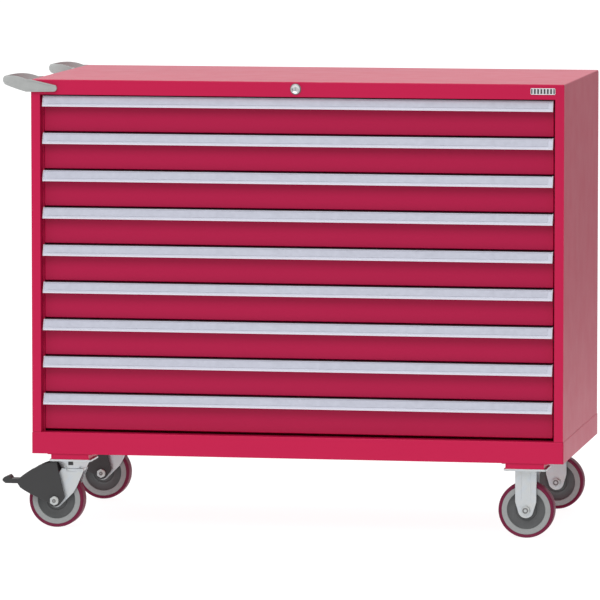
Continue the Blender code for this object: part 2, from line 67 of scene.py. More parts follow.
def arc(centre, radius, start, end, steps):
    """Points along an arc, with its angles in degrees."""
    turn = radians(end - start) / steps
    angles = [radians(start) + turn * i for i in range(steps + 1)]
    return [(centre[0] + radius * cos(a), centre[1] + radius * sin(a)) for a in angles]


def corner_samples(before, here, after, radius, steps):
    """Places and left-hand normals round one bend of a line.

    An exact right angle stays square, whatever its radius.
    """
    heading = (here - before).normalized()
    leaving = (after - here).normalized()
    turn = Vector((heading.dot(leaving), heading.x * leaving.y - heading.y * leaving.x))
    angle = -Vector((1, 0)).angle_signed(turn) if turn.x else 0.0
    normal = Vector((-heading.y, heading.x))
    if radius <= 0 or abs(angle) < 1e-6:
        middle = (normal + Vector((-leaving.y, leaving.x))).normalized()
        return [(here, middle / max(middle.dot(normal), 0.2))]
    start = here - heading * radius * tan(abs(angle) / 2)
    side = 1 if angle > 0 else -1
    centre = start + normal * side * radius
    samples = []
    for step in range(steps + 1):
        swing = Matrix.Rotation(angle * step / steps, 2)
        samples.append((centre + swing @ (start - centre), swing @ normal))
    return samples


def folded(points, thickness, steps=5):
    """Closed outline of a sheet folded along a line of (a, b, bend radius) points."""
    line = [Vector(point[:2]) for point in points]
    first = (line[1] - line[0]).normalized()
    last = (line[-1] - line[-2]).normalized()
    samples = [(line[0], Vector((-first.y, first.x)))]
    for i in range(1, len(line) - 1):
        samples += corner_samples(line[i - 1], line[i], line[i + 1], points[i][2], steps)
    samples.append((line[-1], Vector((-last.y, last.x))))
    left = [place + normal * thickness / 2 for place, normal in samples]
    right = [place - normal * thickness / 2 for place, normal in samples]
    return [tuple(point) for point in left + right[::-1]]


def filleted(points, steps=4):
    """A closed outline with its corners rounded; points are (a, b) or (a, b, radius)."""
    outline = []
    for i, point in enumerate(points):
        radius = point[2] if len(point) > 2 else 0
        before = Vector(points[i - 1][:2])
        after = Vector(points[(i + 1) % len(points)][:2])
        for place, _normal in corner_samples(before, Vector(point[:2]), after, radius, steps):
            outline.append(tuple(place))
    return outline


def rounded_ring(half_a, half_b, corner, steps=4):
    """A rectangle with rounded corners, round its own middle."""
    points = []
    for a, b, start in ((1, 1, 0), (-1, 1, 90), (-1, -1, 180), (1, -1, 270)):
        centre = (a * (half_a - corner), b * (half_b - corner))
        points += arc(centre, corner, start, start + 90, steps)
    return points


def both_sides(half):
    """A turned profile followed by its mirror image."""
    return half + [(radius, -along) for radius, along in reversed(half)]


def mirrored(points):
    return [(-point[0], *point[1:]) for point in reversed(points)]


# ---- meshes

def spot(axis, a, b, along):
    """A point from its two section coordinates and its place along the axis."""
    return {"X": (along, a, b), "Y": (a, along, b), "Z": (a, b, along)}[axis]


def skin(bm, rings, caps=True, loop=False):
    """Faces between rings of equal length, with flat ends or joined end to end."""
    verts = [[bm.verts.new(point) for point in ring] for ring in rings]
    pairs = list(zip(verts, verts[1:]))
    if loop:
        pairs.append((verts[-1], verts[0]))
    count = len(rings[0])
    for ring, following in pairs:
        for i in range(count):
            j = (i + 1) % count
            bm.faces.new((ring[i], ring[j], following[j], following[i]))
    if caps:
        bm.faces.new(verts[0])
        bm.faces.new(verts[-1])


def add_prism(bm, outline, axis, low, high):
    """The outline, in millimetres, extruded between two places in metres."""
    rings = [[spot(axis, a * MM, b * MM, along) for a, b in outline] for along in (low, high)]
    skin(bm, rings)


def add_pillow(bm, half_a, half_b, corner, profile, axis, centre=(0, 0)):
    """A rounded rectangle stacked in rings; profile is (inset, place along the axis)."""
    rings = []
    for inset, along in profile:
        ring = rounded_ring(half_a - inset, half_b - inset, max(corner - inset, 0.3))
        rings.append([spot(axis, (centre[0] + a) * MM, (centre[1] + b) * MM, along * MM)
                      for a, b in ring])
    skin(bm, rings)


def add_block(bm, low, high, edge=0.6):
    """A block in millimetres between two corners, with small rounded edges along Z."""
    half_a = (high[0] - low[0]) / 2
    half_b = (high[1] - low[1]) / 2
    centre = ((high[0] + low[0]) / 2, (high[1] + low[1]) / 2)
    profile = rounded_profile(low[2], high[2], edge, edge)
    add_pillow(bm, half_a, half_b, 2 * edge, profile, "Z", centre)


def rounded_profile(low, high, low_edge, high_edge, steps=3):
    """Insets and places that round off both ends of a stack."""
    angles = [pi / 2 * step / steps for step in range(steps + 1)]
    start = [(low_edge * (1 - sin(a)), low + low_edge * (1 - cos(a))) for a in angles]
    end = [(high_edge * (1 - cos(a)), high - high_edge * (1 - sin(a))) for a in angles]
    return start + end


def add_turned(bm, profile, axis, centre=(0, 0, 0), segments=64, loop=False):
    """A (radius, along) profile in millimetres, turned about an axis through the centre."""
    rings = []
    for radius, along in profile:
        ring = [spot(axis, a, b, along) for a, b in arc((0, 0), radius, 0, 360 - 360 / segments,
                                                        segments - 1)]
        rings.append([tuple((c + v) * MM for c, v in zip(centre, point)) for point in ring])
    skin(bm, rings, caps=not loop, loop=loop)


def add_hexagon(bm, across, low, high, axis, centre=(0, 0, 0), chamfer=0.8):
    """A hexagon head or nut with its outer corners turned down."""
    radius = across / 2 / cos(radians(30))
    rings = []
    for size, along in ((radius, low), (radius, high - chamfer), (radius - chamfer * 1.6, high)):
        ring = arc((0, 0), size, 30, 330, 5)
        rings.append([tuple((c + v) * MM for c, v in zip(centre, spot(axis, a, b, along)))
                      for a, b in ring])
    skin(bm, rings)


def centre_of(node):
    low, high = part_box(node)
    return (low + high) / 2


def piece(name, bm, material, body, replaces=(), sharp=SHARP):
    """Turns a mesh into a named piece that rides on a body."""
    bmesh.ops.recalc_face_normals(bm, faces=bm.faces)
    mesh = bpy.data.meshes.new(name)
    bm.to_mesh(mesh)
    bm.free()
    return stand(name, mesh, material, body, (0, 0, 0), replaces, sharp)


def stand(name, mesh, material, body, location, replaces=(), sharp=SHARP):
    """Puts a mesh in the scene as a piece, smooth except over its sharp edges."""
    obj = bpy.data.objects.new(name, mesh)
    bpy.context.collection.objects.link(obj)
    obj.location = location
    if not mesh.materials:
        mesh.materials.append(material)
        mesh.shade_smooth()
        mesh.set_sharp_from_angle(angle=radians(sharp))
    flat = obj.modifiers.new("flat_faces", "WEIGHTED_NORMAL")
    flat.keep_sharp = True
    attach(obj, body)
    if replaces:
        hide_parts(*replaces)
    return obj


def mesh_of(build):
    """The mesh that a building function makes, for pieces that share it."""
    bm = bmesh.new()
    build(bm)
    bmesh.ops.recalc_face_normals(bm, faces=bm.faces)
    mesh = bpy.data.meshes.new(build.__name__)
    bm.to_mesh(mesh)
    bm.free()
    return mesh


def cut(obj, build):
    """Subtracts a mesh from a piece and keeps the result."""
    cutter = bpy.data.objects.new("cutter", mesh_of(build))
    bpy.context.collection.objects.link(cutter)
    hole = obj.modifiers.new("hole", "BOOLEAN")
    hole.operation = "DIFFERENCE"
    hole.object = cutter
    while obj.modifiers[0] != hole:
        obj.modifiers.move(obj.modifiers.find("hole"), 0)
    bpy.context.view_layer.objects.active = obj
    bpy.ops.object.modifier_apply(modifier="hole")
    bpy.data.objects.remove(cutter)
    obj.data.set_sharp_from_angle(angle=radians(SHARP))


# ---- materials

NOISE_LOW, NOISE_HIGH = 0.3, 0.7  # between these lies most of a noise texture's range
COAT_GLOSS = 0.17                 # specular level of the red powder coat


def calculated(tree, operation, first, second=0.0):
    """The result of one math operation; the second value is a socket or a plain number."""
    node = tree.nodes.new("ShaderNodeMath")
    node.operation = operation
    tree.links.new(first, node.inputs[0])
    if hasattr(second, "is_output"):
        tree.links.new(second, node.inputs[1])
    else:
        node.inputs[1].default_value = second
    return node.outputs["Value"]


def map_range(tree, value, start, end, low, high):
    """A value between two limits, spread over another range."""
    node = tree.nodes.new("ShaderNodeMapRange")
    tree.links.new(value, node.inputs["Value"])
    for name, limit in (("From Min", start), ("From Max", end), ("To Min", low), ("To Max", high)):
        node.inputs[name].default_value = limit
    return node.outputs["Result"]


class Nodes:
    """Builds one material's node tree with short calls."""

    def __init__(self, name):
        self.material = bpy.data.materials.new(name)
        self.material.use_nodes = True
        self.tree = self.material.node_tree
        self.shader = self.tree.nodes["Principled BSDF"]
        self.place = self.tree.nodes.new("ShaderNodeTexCoord").outputs["Object"]

    def add(self, kind, **values):
        node = self.tree.nodes.new(kind)
        for name, value in values.items():
            if hasattr(value, "is_output"):
                self.tree.links.new(value, node.inputs[name])
            else:
                node.inputs[name].default_value = value
        return node

    def stretched(self, scale):
        mapping = self.add("ShaderNodeMapping", Vector=self.place)
        mapping.inputs["Scale"].default_value = scale
        return mapping.outputs["Vector"]

    def noise(self, scale, detail=2.0, vector=None, roughness=0.5):
        node = self.add("ShaderNodeTexNoise", Vector=vector or self.place, Scale=scale,
                        Detail=detail, Roughness=roughness)
        return node.outputs["Fac"]

    def ramp(self, factor, low, high, start=NOISE_LOW, end=NOISE_HIGH):
        """Two colours mixed by a factor."""
        node = self.add("ShaderNodeValToRGB", Fac=factor)
        for stop, colour, position in zip(node.color_ramp.elements, (low, high), (start, end)):
            stop.color = (*colour, 1)
            stop.position = position
        return node.outputs["Color"]

    def span(self, value, start, end, low, high):
        return map_range(self.tree, value, start, end, low, high)

    def spread(self, factor, low, high):
        """A noise factor spread over a range of values."""
        return map_range(self.tree, factor, NOISE_LOW, NOISE_HIGH, low, high)

    def math(self, operation, first, second=0.0):
        return calculated(self.tree, operation, first, second)

    def bump(self, height, strength, distance, normal=None):
        node = self.add("ShaderNodeBump", Height=height, Strength=strength, Distance=distance)
        if normal:
            self.tree.links.new(normal, node.inputs["Normal"])
        return node.outputs["Normal"]

    def finish(self, metallic=0.0, specular=0.5, **links):
        """Connects the shader's inputs and sets the ones that are the same all over."""
        self.shader.inputs["Metallic"].default_value = metallic
        self.shader.inputs["Specular IOR Level"].default_value = specular
        for name, value in links.items():
            self.tree.links.new(value, self.shader.inputs[name.replace("_", " ")])
        return self.material


def shade(colour, factor):
    return tuple(channel * factor for channel in colour)


def powder_coat(name, colour, roughness, specular=COAT_GLOSS):
    """Smooth powder coat: fine orange peel, slight clouding and a little dust in the gloss."""
    nodes = Nodes(name)
    cloud = nodes.noise(2.2, 3)
    peel = nodes.noise(330, 1.5)
    grain = nodes.noise(1400, 1)
    wavy = nodes.bump(peel, 0.07, 0.0003)
    return nodes.finish(
        specular=specular,
        Base_Color=nodes.ramp(cloud, shade(colour, 0.975), shade(colour, 1.02)),
        Roughness=nodes.spread(nodes.noise(14, 3), roughness - 0.015, roughness + 0.02),
        Normal=nodes.bump(grain, 0.05, 0.0002, wavy),
    )


def panel_coat(name, colour, half_width, drop):
    """Powder coat on a drawer front, lighter along the folded edges as a painted highlight."""
    nodes = Nodes(name)
    place = nodes.add("ShaderNodeSeparateXYZ", Vector=nodes.place).outputs
    across = nodes.math("ABSOLUTE", place["X"])
    full_highlight, no_highlight = 3.2 * MM, 4.4 * MM     # in from the edge, where the painted edge highlight ends
    low = nodes.span(place["Z"], -drop + full_highlight, -drop + no_highlight, 1.0, 0.0)
    side = nodes.span(across, half_width - no_highlight, half_width - full_highlight, 0.0, 1.0)
    edge = nodes.math("MAXIMUM", low, side)
    wavy = nodes.bump(nodes.noise(330, 1.5), 0.10, 0.0004)
    return nodes.finish(
        specular=COAT_GLOSS,
        # the lighter colour along the edges is a painted highlight on the rolled bends
        Base_Color=nodes.ramp(edge, colour, shade(colour, 1.16), 0.0, 1.0),
        Roughness=nodes.spread(nodes.noise(14, 3), 0.365, 0.40),
        Normal=nodes.bump(nodes.noise(1400, 1), 0.05, 0.0002, wavy),
    )


def brushed(name, colour, roughness, grain_axis, metallic=1.0):
    """Metal with fine lines along one axis."""
    nodes = Nodes(name)
    scale = [260.0, 260.0, 260.0]
    scale["XYZ".index(grain_axis)] = 3.0
    lines = nodes.noise(6, 3, nodes.stretched(scale), 0.6)
    cloud = nodes.noise(3, 2)
    return nodes.finish(
        metallic=metallic,
        Base_Color=nodes.ramp(cloud, shade(colour, 0.96), shade(colour, 1.03)),
        Roughness=nodes.spread(lines, roughness - 0.05, roughness + 0.07),
        Normal=nodes.bump(lines, 0.12, 0.0002),
    )


COLOUR_BELOW, COLOUR_ABOVE, COLOUR_MIXED = 6, 7, 2      # a Mix node's colour sockets


def pull_finish(name, face, lip, flange):
    """Satin anodised extrusion: lip lighter as a painted highlight, upper flange darker as painted
    shade.
    """
    nodes = Nodes(name)
    height = nodes.add("ShaderNodeSeparateXYZ", Vector=nodes.place).outputs["Z"]
    lines = nodes.noise(6, 3, nodes.stretched((3.0, 260.0, 260.0)), 0.6)
    # below this height the lip takes a lighter colour: a painted highlight
    lip_highlight_and_face = nodes.ramp(nodes.span(height, -0.0275, -0.0255, 0.0, 1.0), lip, face, 0.0, 1.0)
    mixed = nodes.add("ShaderNodeMix")
    mixed.data_type = "RGBA"
    # above this height the upper flange takes a dark colour: painted shade under the drawer above
    top = nodes.span(height, -0.0016, -0.0008, 0.0, 1.0)
    nodes.tree.links.new(top, mixed.inputs["Factor"])
    nodes.tree.links.new(lip_highlight_and_face, mixed.inputs[COLOUR_BELOW])
    mixed.inputs[COLOUR_ABOVE].default_value = (*flange, 1)
    return nodes.finish(
        metallic=0.25,
        specular=0.3,
        Base_Color=mixed.outputs[COLOUR_MIXED],
        Roughness=nodes.spread(lines, 0.36, 0.48),
        Normal=nodes.bump(lines, 0.10, 0.0002),
    )


def zinc_plate(name, colour, roughness, metallic):
    """Bright zinc: cloudy passivation with a faint blue and yellow cast."""
    nodes = Nodes(name)
    cloud = nodes.noise(38, 5, roughness=0.6)
    warm = (colour[0] * 1.03, colour[1] * 1.01, colour[2] * 0.96)
    cool = (colour[0] * 0.95, colour[1] * 0.99, colour[2] * 1.03)
    return nodes.finish(
        metallic=metallic,
        Base_Color=nodes.ramp(cloud, cool, warm),
        Roughness=nodes.spread(nodes.noise(90, 4), roughness - 0.07, roughness + 0.09),
        Normal=nodes.bump(nodes.noise(700, 2), 0.10, 0.0002),
    )


def cast_metal(name, colour, roughness):
    """Painted casting: a fine pebbly skin and slight clouding."""
    nodes = Nodes(name)
    pebble = nodes.noise(900, 3, roughness=0.65)
    cloud = nodes.noise(22, 4)
    soft = nodes.bump(cloud, 0.12, 0.0006)
    return nodes.finish(
        specular=0.4,
        Base_Color=nodes.ramp(cloud, shade(colour, 0.92), shade(colour, 1.06)),
        Roughness=nodes.spread(nodes.noise(60, 3), roughness - 0.06, roughness + 0.08),
        Normal=nodes.bump(pebble, 0.22, 0.0003, soft),
    )


def moulded(name, colour, roughness, texture=700, specular=0.5):
    """Moulded plastic or polyurethane: spark-eroded texture, scuffs and a dusty cast."""
    nodes = Nodes(name)
    scuff = nodes.noise(55, 6, roughness=0.7)
    return nodes.finish(
        specular=specular,
        Base_Color=nodes.ramp(scuff, shade(colour, 0.95), shade(colour, 1.06)),
        Roughness=nodes.spread(scuff, roughness + 0.10, roughness - 0.08),
        Normal=nodes.bump(nodes.noise(texture, 2), 0.18, 0.0003),
    )


FRONT_HEIGHT = 97.4
PANEL_HALF = 687.0
DRAWER_RED = (0.43, 0.008, 0.060)
RED_FRAME = powder_coat("red_frame_paint", (0.51, 0.009, 0.065), 0.34)
RED_DRAWER = powder_coat("red_drawer_paint", DRAWER_RED, 0.38)
RED_PANEL = panel_coat("red_panel_paint", DRAWER_RED, PANEL_HALF * MM, FRONT_HEIGHT * MM)
# colours: face, then the lip's painted highlight, then the upper flange's painted shade
PULL = pull_finish("pull_anodised", (0.435, 0.45, 0.525), (0.74, 0.72, 0.81), (0.08, 0.05, 0.06))
LABEL = moulded("label_strip_cover", (0.48, 0.495, 0.58), 0.38, 300, 0.25)
END_CAP = moulded("pull_end_cap", (0.56, 0.55, 0.62), 0.44, 900, 0.3)
# galvanised steel given a very dark colour: painted shade inside the housing, seen through the
# drawer gaps
SHADED_CARRIAGE = brushed("carriage_steel_shaded", (0.17, 0.17, 0.18), 0.46, "Y")
CAST = cast_metal("push_handle_casting", (0.375, 0.385, 0.38), 0.50)
ZINC = zinc_plate("caster_zinc", (0.56, 0.58, 0.60), 0.36, 0.6)
BOLT = zinc_plate("bolt_zinc", (0.50, 0.51, 0.51), 0.30, 0.6)
DARK_STEEL = powder_coat("brake_dark_paint", (0.042, 0.042, 0.043), 0.50, 0.3)
TREAD = moulded("tread_polyurethane", (0.150, 0.012, 0.042), 0.50, 500, 0.15)
RIM = moulded("wheel_rim_plastic", (0.29, 0.30, 0.30), 0.50, 700, 0.3)
WEB = moulded("wheel_web_plastic", (0.095, 0.098, 0.100), 0.52, 700, 0.3)
SOCKET = moulded("bolt_socket", (0.16, 0.16, 0.16), 0.50, 700, 0.3)
CHROME = brushed("lock_chrome", (0.66, 0.67, 0.68), 0.24, "Z")
RUBBER = moulded("black_plastic", (0.018, 0.018, 0.020), 0.50)
PLATE = brushed("name_plate_metal", (0.72, 0.72, 0.75), 0.36, "X", 0.7)
PLATE_FIELD = moulded("name_plate_field", (0.035, 0.035, 0.04), 0.5)


# ---- housing

SHEET = 2.0
STILE_WIDTH = 24.0
STILE_LIP = 688.2                 # inner edge of the stile's returned lip, from the middle
STILE_DEPTH = 33.0
ROOF_EDGE = 3.0
ROOF_THICK = 5.0
HEADER_HEIGHT = 40.0
HEADER_LIP = 24.0
HEADER_PROUD = 0.05
HEADER_INSET = 2.0
RAIL_INNER = 677.0
RAIL_SHEET = 1.6


def in_mm(metres):
    return metres / MM


HALF_W = in_mm(HALF_WIDTH)
FRONT = in_mm(FRONT_Y)
BACK = in_mm(BACK_Y)
MID = in_mm(MID_X)
ROOF = in_mm(ROOF_Z)
WALL_TOP = ROOF - ROOF_THICK


def shifted(points, across):
    return [(point[0] + across, *point[1:]) for point in points]


def make_walls():
    """Sides, back and folded front stiles in one sheet, with square corners."""
    middle = SHEET / 2
    right = [
        (HALF_W - middle, BACK - middle, 0),
        (HALF_W - middle, FRONT + middle, 0),
        (HALF_W - STILE_WIDTH + middle, FRONT + middle, 0),
        (HALF_W - STILE_WIDTH + middle, FRONT + STILE_DEPTH - middle, 0),
        (STILE_LIP, FRONT + STILE_DEPTH - middle, 0),
    ]
    line = shifted(mirrored(right) + right, MID)
    bm = bmesh.new()
    add_prism(bm, folded(line, SHEET), "Z", HOUSE_LOW.z, WALL_TOP * MM)
    piece("housing_walls", bm, RED_FRAME, "root", ["housing_shell"])


def make_roof():
    """Roof sheet with its edge rolled down over the walls."""
    bm = bmesh.new()
    depth = (BACK - FRONT) / 2
    profile = rounded_profile(WALL_TOP, ROOF, 0.2, ROOF_EDGE, 6)
    add_pillow(bm, HALF_W, depth, ROOF_EDGE, profile, "Z", (MID, (FRONT + BACK) / 2))
    piece("housing_roof", bm, RED_FRAME, "root", ["housing_shell"])


def make_header():
    """Front rail welded over the stiles and folded back over the top drawer."""
    middle = SHEET / 2 - HEADER_PROUD
    low = ROOF - HEADER_HEIGHT + middle
    line = [
        (FRONT + middle, WALL_TOP, 0),
        (FRONT + middle, low, 0),
        (FRONT + HEADER_LIP, low, 0),
    ]
    reach = (HALF_W - HEADER_INSET) * MM
    bm = bmesh.new()
    add_prism(bm, folded(line, SHEET), "X", MID_X - reach, MID_X + reach)
    header = piece("housing_header", bm, RED_FRAME, "root", ["housing_shell"])

    def lock_hole(cutter):
        add_turned(cutter, [(11.6, -10), (11.6, 10)], "Y", (LOCK[0], FRONT, LOCK[2]), 48)

    cut(header, lock_hole)


def make_rails():
    """Rail plates inside the side walls, with a folded ledge under every carriage."""
    wall = HALF_W - SHEET - RAIL_SHEET / 2
    for side, name in ((-1, "left"), (1, "right")):
        bm = bmesh.new()
        for number in DRAWERS:
            ledge = in_mm(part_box(f"carriage_{name}_{number}")[0].z) - 0.5
            line = [
                (wall, ledge + 18, 0),
                (wall, ledge - RAIL_SHEET / 2, 0),
                (RAIL_INNER, ledge - RAIL_SHEET / 2, 0),
                (RAIL_INNER, ledge - 5, 0),
            ]
            outline = [(MID + side * a, b) for a, b in folded(line, RAIL_SHEET)]
            add_prism(bm, outline, "Y", FRONT_Y + 29 * MM, BACK_Y - 20 * MM)
        piece(f"rails_{name}", bm, RED_DRAWER, "root", ["housing_shell"])


# ---- base

BASE_WRAP = in_mm(BASE_HIGH.x) - MID - HALF_W
BASE_BOTTOM = CHANNEL_BOTTOM / MM + 15.0
BASE_TOP = in_mm(BASE_HIGH.z)
CHANNEL_HALF = 51.5


def make_base():
    """Base pan: a folded band closed on top, open below."""
    wall = 3.0
    edge = 2.5
    half_a = HALF_W + BASE_WRAP
    half_b = (BACK - FRONT) / 2 + BASE_WRAP
    profile = [(wall, BASE_TOP - wall), (wall, BASE_BOTTOM + 0.6), (wall - 0.6, BASE_BOTTOM)]
    profile += rounded_profile(BASE_BOTTOM, BASE_TOP, 0.6, edge, 5)[1:]
    bm = bmesh.new()
    add_pillow(bm, half_a, half_b, 4.0, profile, "Z", (MID, 0))
    piece("base_pan", bm, RED_FRAME, "root", ["base_frame"])


def make_channels():
    """Hat-section channels that carry the casters, capped at both ends."""
    wall = 3.0
    crown = in_mm(CHANNEL_BOTTOM) + wall / 2
    lip = BASE_BOTTOM - wall / 2 + 1.0
    for name, end in (("left", "swivel_plate_left_front"), ("right", "bracket_right_front")):
        centre = in_mm(centre_of(end).x)
        right = [
            (CHANNEL_HALF - wall / 2, crown, 0),
            (CHANNEL_HALF - wall / 2, lip, 0),
            (CHANNEL_HALF + 10.0, lip, 0),
        ]
        bm = bmesh.new()
        line = shifted(mirrored(right) + right, centre)
        add_prism(bm, folded(line, wall), "Y", FRONT_Y + 2 * MM, BACK_Y - 2 * MM)
        for face in (FRONT + 2.2, BACK - 5.2):
            profile = rounded_profile(face, face + 3.0, 0.8, 0.8)
            half_height = (BASE_BOTTOM - crown) / 2
            add_pillow(bm, CHANNEL_HALF - wall, half_height, 2.0, profile, "Y",
                       (centre, crown + half_height))
        piece(f"base_channel_{name}", bm, RED_FRAME, "root", ["base_frame"])


# ---- drawers

PANEL_BACK = 24.5
PULL_GAP = 2.9
STRIP_HALF = 687.4
CAP_LENGTH = 2.4
TRAY_SHEET = 1.5
TRAY_HALF = 673.0
FLANGE_HALF = 686.0
CARRIAGE_SHEET = 2.4
CARRIAGE_INNER = 675.0
CARRIAGE_OUTER = 687.0
CARRIAGE_HEIGHT = 28.0
CARRIAGE_LENGTH = 600
RIM_DROP = 20.5
FLOOR_DROP = 90.0


def panel_front(bm):
    """Drawer front: a shallow pan with rolled edges, hung under the pull."""
    height = FRONT_HEIGHT - PULL_GAP
    profile = [(0.0, FRONT + PANEL_BACK + 4.0)]
    for step in range(6):
        angle = pi / 2 * step / 5
        profile.append((3.0 * (1 - cos(angle)), FRONT + PANEL_BACK + 3.0 * (1 - sin(angle))))
    add_pillow(bm, PANEL_HALF, height / 2, 3.0, profile, "Y",
               (0, -PULL_GAP - height / 2))


def drawer_trough(bm):
    """Floor, sides and rims folded from one sheet, with a separate back."""
    side = TRAY_HALF - TRAY_SHEET / 2
    rim = -RIM_DROP - TRAY_SHEET / 2
    floor = -FLOOR_DROP + TRAY_SHEET / 2
    right = [(side, floor, 0), (side, rim, 0), (FLANGE_HALF, rim, 0)]
    outline = folded(mirrored(right) + right, TRAY_SHEET)
    start = FRONT + PANEL_BACK
    add_prism(bm, outline, "Y", (start + 3.6) * MM, (start + 639) * MM)
    profile = rounded_profile(start + 637.8, start + 639.6, 0.4, 0.4)
    add_pillow(bm, TRAY_HALF - 2, (FLOOR_DROP - RIM_DROP) / 2, 2.0, profile, "Y",
               (0, -(FLOOR_DROP + RIM_DROP) / 2))


def face_point(run, lift=0.0):
    """A point on the pull's sloping face, run down from its top edge."""
    along = Vector((-10.2, -25.6)).normalized()
    out = Vector((along.y, -along.x))
    return tuple(Vector((-14.0, -1.2)) + along * run + out * lift)


def pull_section():
    """The pull's extrusion: flange, sloping face with a label channel, and finger lip."""
    channel = 0.9
    points = [
        (0.0, 0.0),
        (-14.0, 0.0, 1.4),
        (*face_point(2.6), 0.4),
        (*face_point(2.9, -channel), 0.2),
        (*face_point(21.6, -channel), 0.2),
        (*face_point(21.9), 0.4),
        (-24.5, -26.4, 1.6),
        (-24.5, -29.5),
        (-20.5, -29.5, 1.2),
        (-19.4, -25.2, 1.5),
        (-11.2, -5.4, 1.5),
        (-8.6, -2.6, 1.5),
        (0.0, -2.6),
    ]
    return [(a + FRONT + PANEL_BACK, b) for a, b in filleted(points)]


def pull_strip(bm):
    reach = (STRIP_HALF - CAP_LENGTH) * MM
    add_prism(bm, pull_section(), "X", -reach, reach)


def pull_caps(bm):
    """End caps that close the extrusion."""
    points = [
        (0.0, -0.1), (-14.3, -0.1, 1.6), (-24.9, -26.4, 1.8), (-24.9, -29.8),
        (-18.6, -29.8, 2.0), (-8.0, -8.0, 4.0), (0.0, -6.0, 0.6),
    ]
    outline = [(a + FRONT + PANEL_BACK, b) for a, b in filleted(points)]
    inset = [(a + 0.25 * (1 if a < FRONT + 12 else -1), b + 0.3 * (1 if b < -15 else -1))
             for a, b in outline]
    for side in (-1, 1):
        rings = []
        for shape, along in ((outline, STRIP_HALF - CAP_LENGTH), (outline, STRIP_HALF - 0.4),
                             (inset, STRIP_HALF)):
            rings.append([spot("X", a * MM, b * MM, side * along * MM) for a, b in shape])
        skin(bm, rings)


def label_strip(bm):
    """Label strip with its clear cover, seated in the pull's channel."""
    corners = [face_point(3.1, -0.9), face_point(21.4, -0.9), face_point(21.4, -0.15),
               face_point(12.2, 0.1), face_point(3.1, -0.15)]
    outline = [(a + FRONT + PANEL_BACK, b) for a, b in corners]
    add_prism(bm, outline, "X", -(STRIP_HALF - 14) * MM, (STRIP_HALF - 14) * MM)


def carriage_build(side):
    """Carriage channel with its rollers; side is -1 on the left."""
    def carriage(bm):
        half = CARRIAGE_SHEET / 2
        line = [
            (CARRIAGE_INNER, -half, 0),
            (CARRIAGE_OUTER - half, -half, 0),
            (CARRIAGE_OUTER - half, -CARRIAGE_HEIGHT + half, 0),
            (CARRIAGE_INNER, -CARRIAGE_HEIGHT + half, 0),
        ]
        outline = [(side * a, b) for a, b in folded(line, CARRIAGE_SHEET)]
        start = FRONT + STILE_DEPTH
        add_prism(bm, outline, "Y", start * MM, (start + CARRIAGE_LENGTH) * MM)
        for run in (22, 160, 300, 440, 578):
            profile = [(4.0, 684.4), (10.6, 684.2), (11.0, 683.6), (11.0, 676.8), (10.4, 676.2),
                       (5.5, 676.2), (5.0, 675.4), (2.5, 675.2)]
            add_turned(bm, [(radius, side * along) for radius, along in profile], "X",
                       (0, start + run, -CARRIAGE_HEIGHT / 2), 24)
    return carriage


def make_drawers():
    """Nine alike: front, trough, pull with label strip and caps, and two carriages."""
    shapes = (
        ("front", mesh_of(panel_front), RED_PANEL, "red_drawer", "drawer_tray"),
        ("trough", mesh_of(drawer_trough), RED_DRAWER, "red_drawer", "drawer_tray"),
        ("pull", mesh_of(pull_strip), PULL, "pull_aluminium", "drawer_pull"),
        ("pull_caps", mesh_of(pull_caps), END_CAP, "pull_aluminium", "drawer_pull"),
        ("label_strip", mesh_of(label_strip), LABEL, "pull_aluminium", "drawer_pull"),
    )
    sides = {"left": mesh_of(carriage_build(-1)), "right": mesh_of(carriage_build(1))}
    for number in DRAWERS:
        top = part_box(f"drawer_pull_{number}")[1].z
        for name, mesh, material, slot, node in shapes:
            stand(f"drawer_{number}_{name}", mesh, material, f"drawer_{number}",
                  (MID_X, 0, top), [f"{node}_{number}"])
        for side, mesh in sides.items():
            node = f"carriage_{side}_{number}"
            stand(f"{node}_channel", mesh, SHADED_CARRIAGE, f"carriage_pair_{number}",
                  (MID_X, 0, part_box(node)[1].z), [node])


# ---- lock and name plate

LOCK_RADIUS = 13.5                # of the CAD's lock face
LOCK = (MID, FRONT, in_mm(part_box("lock_cylinder")[1].z) - LOCK_RADIUS)


def make_lock():
    """Dark escutcheon on the header and a chromed cylinder with a keyway."""
    bm = bmesh.new()
    add_turned(bm, [(12.2, -0.2), (14.4, -0.2), (14.8, -0.6), (14.4, -1.4), (13.6, -1.6),
                    (12.2, -1.6)], "Y", LOCK, 64, loop=True)
    piece("lock_escutcheon", bm, SOCKET, "root")
    bm = bmesh.new()
    add_turned(bm, [(11.0, 31.5), (11.0, 0.2), (11.2, -1.9), (12.5, -1.9), (13.0, -2.4),
                    (13.0, -4.0), (12.4, -4.8), (11.4, -5.0), (9.6, -4.6), (7.0, -3.0),
                    (6.4, -2.8), (3.0, -2.8)], "Y", LOCK, 64)
    cylinder = piece("lock_barrel", bm, CHROME, "lock", ["lock_cylinder"])

    def keyway(cutter):
        outline = [(LOCK[0] + a, LOCK[2] + b) for a, b in rounded_ring(1.2, 4.6, 0.5)]
        add_prism(cutter, outline, "Y", (FRONT - 6) * MM, (FRONT + 2) * MM)

    cut(cylinder, keyway)
    bm = bmesh.new()
    add_block(bm, (MID - 6, FRONT + 29.2, LOCK[2] - 16.8), (MID + 6, FRONT + 32.5, LOCK[2] + 4))
    piece("lock_cam", bm, BOLT, "lock", ["lock_cylinder"])


